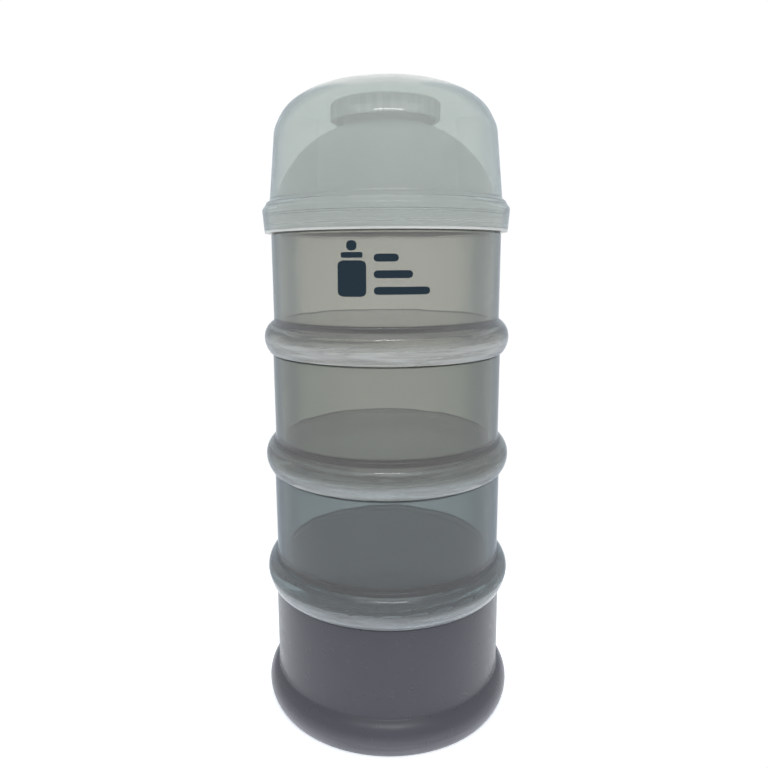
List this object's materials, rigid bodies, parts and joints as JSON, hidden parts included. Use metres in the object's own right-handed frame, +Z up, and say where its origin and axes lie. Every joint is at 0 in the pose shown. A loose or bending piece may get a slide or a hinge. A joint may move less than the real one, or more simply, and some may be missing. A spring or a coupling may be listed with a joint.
{
  "type": "formula dispenser",
  "caption": "Tall round stacking milk powder dispenser with screw-together tinted cups, a pouring funnel lid, a small spout cap and a clear dome cover.",
  "frame": {"origin": "centre of the round underside of the lowest cup, on the surface it stands on", "axes": "+Z up the stack through the spout, +X to the right and -Y towards the viewer as the object is shown"},
  "size_m": [0.0802, 0.0802, 0.202],
  "materials": {
    "charcoal_plastic": "smoky charcoal translucent polypropylene, smooth",
    "slate_plastic": "slate grey translucent polypropylene, smooth",
    "smoke_plastic": "smoke grey translucent polypropylene, smooth",
    "taupe_plastic": "light taupe translucent polypropylene, smooth",
    "frosted_plastic": "frosted natural polypropylene, satin",
    "cap_plastic": "frosted natural polypropylene, satin",
    "clear_plastic": "clear, slightly milky polypropylene, glossy",
    "silicone": "translucent white silicone, matte"
  },
  "bodies": {
    "bottom_cup": {"bottom_cup": "charcoal_plastic"},
    "lower_cup": {"lower_cup": "slate_plastic"},
    "upper_cup": {"upper_cup": "smoke_plastic"},
    "top_cup": {"top_cup": "taupe_plastic"},
    "lower_cup_seal": {"lower_cup_seal": "silicone"},
    "upper_cup_seal": {"upper_cup_seal": "silicone"},
    "top_cup_seal": {"top_cup_seal": "silicone"},
    "funnel_lid_seal": {"funnel_lid_seal": "silicone"},
    "funnel_lid": {"funnel_lid": "frosted_plastic"},
    "spout_cap": {"spout_cap": "cap_plastic"},
    "dome_cover": {"dome_cover": "clear_plastic"}
  },
  "joints": [
    {"name": "lower_cup_rise", "type": "slide", "parent": "bottom_cup", "child": "lower_cup_seal", "axis": [0, 0, 1], "range_m": [0, 0.012]},
    {"name": "lower_cup_unscrew", "type": "hinge", "parent": "lower_cup_seal", "child": "lower_cup", "pos_m": [0, 0, 0], "axis": [0, 0, 1], "range_deg": [0, 721]},
    {"name": "upper_cup_rise", "type": "slide", "parent": "lower_cup", "child": "upper_cup_seal", "axis": [0, 0, 1], "range_m": [0, 0.012]},
    {"name": "upper_cup_unscrew", "type": "hinge", "parent": "upper_cup_seal", "child": "upper_cup", "pos_m": [0, 0, 0], "axis": [0, 0, 1], "range_deg": [0, 721]},
    {"name": "top_cup_rise", "type": "slide", "parent": "upper_cup", "child": "top_cup_seal", "axis": [0, 0, 1], "range_m": [0, 0.012]},
    {"name": "top_cup_unscrew", "type": "hinge", "parent": "top_cup_seal", "child": "top_cup", "pos_m": [0, 0, 0], "axis": [0, 0, 1], "range_deg": [0, 721]},
    {"name": "funnel_lid_rise", "type": "slide", "parent": "top_cup", "child": "funnel_lid_seal", "axis": [0, 0, 1], "range_m": [0, 0.012]},
    {"name": "funnel_lid_unscrew", "type": "hinge", "parent": "funnel_lid_seal", "child": "funnel_lid", "pos_m": [0, 0, 0], "axis": [0, 0, 1], "range_deg": [0, 721]},
    {"name": "spout_cap_lift", "type": "slide", "parent": "funnel_lid", "child": "spout_cap", "axis": [0, 0, 1], "range_m": [0, 0.014]},
    {"name": "dome_cover_lift", "type": "slide", "parent": "spout_cap", "child": "dome_cover", "axis": [0, 0, 1], "range_m": [0, 0.06]}
  ],
  "couplings": [
    {"joint": "lower_cup_unscrew", "follows": "lower_cup_rise", "rad_per_m": 1047.2},
    {"joint": "upper_cup_unscrew", "follows": "upper_cup_rise", "rad_per_m": 1047.2},
    {"joint": "top_cup_unscrew", "follows": "top_cup_rise", "rad_per_m": 1047.2},
    {"joint": "funnel_lid_unscrew", "follows": "funnel_lid_rise", "rad_per_m": 1047.2}
  ]
}
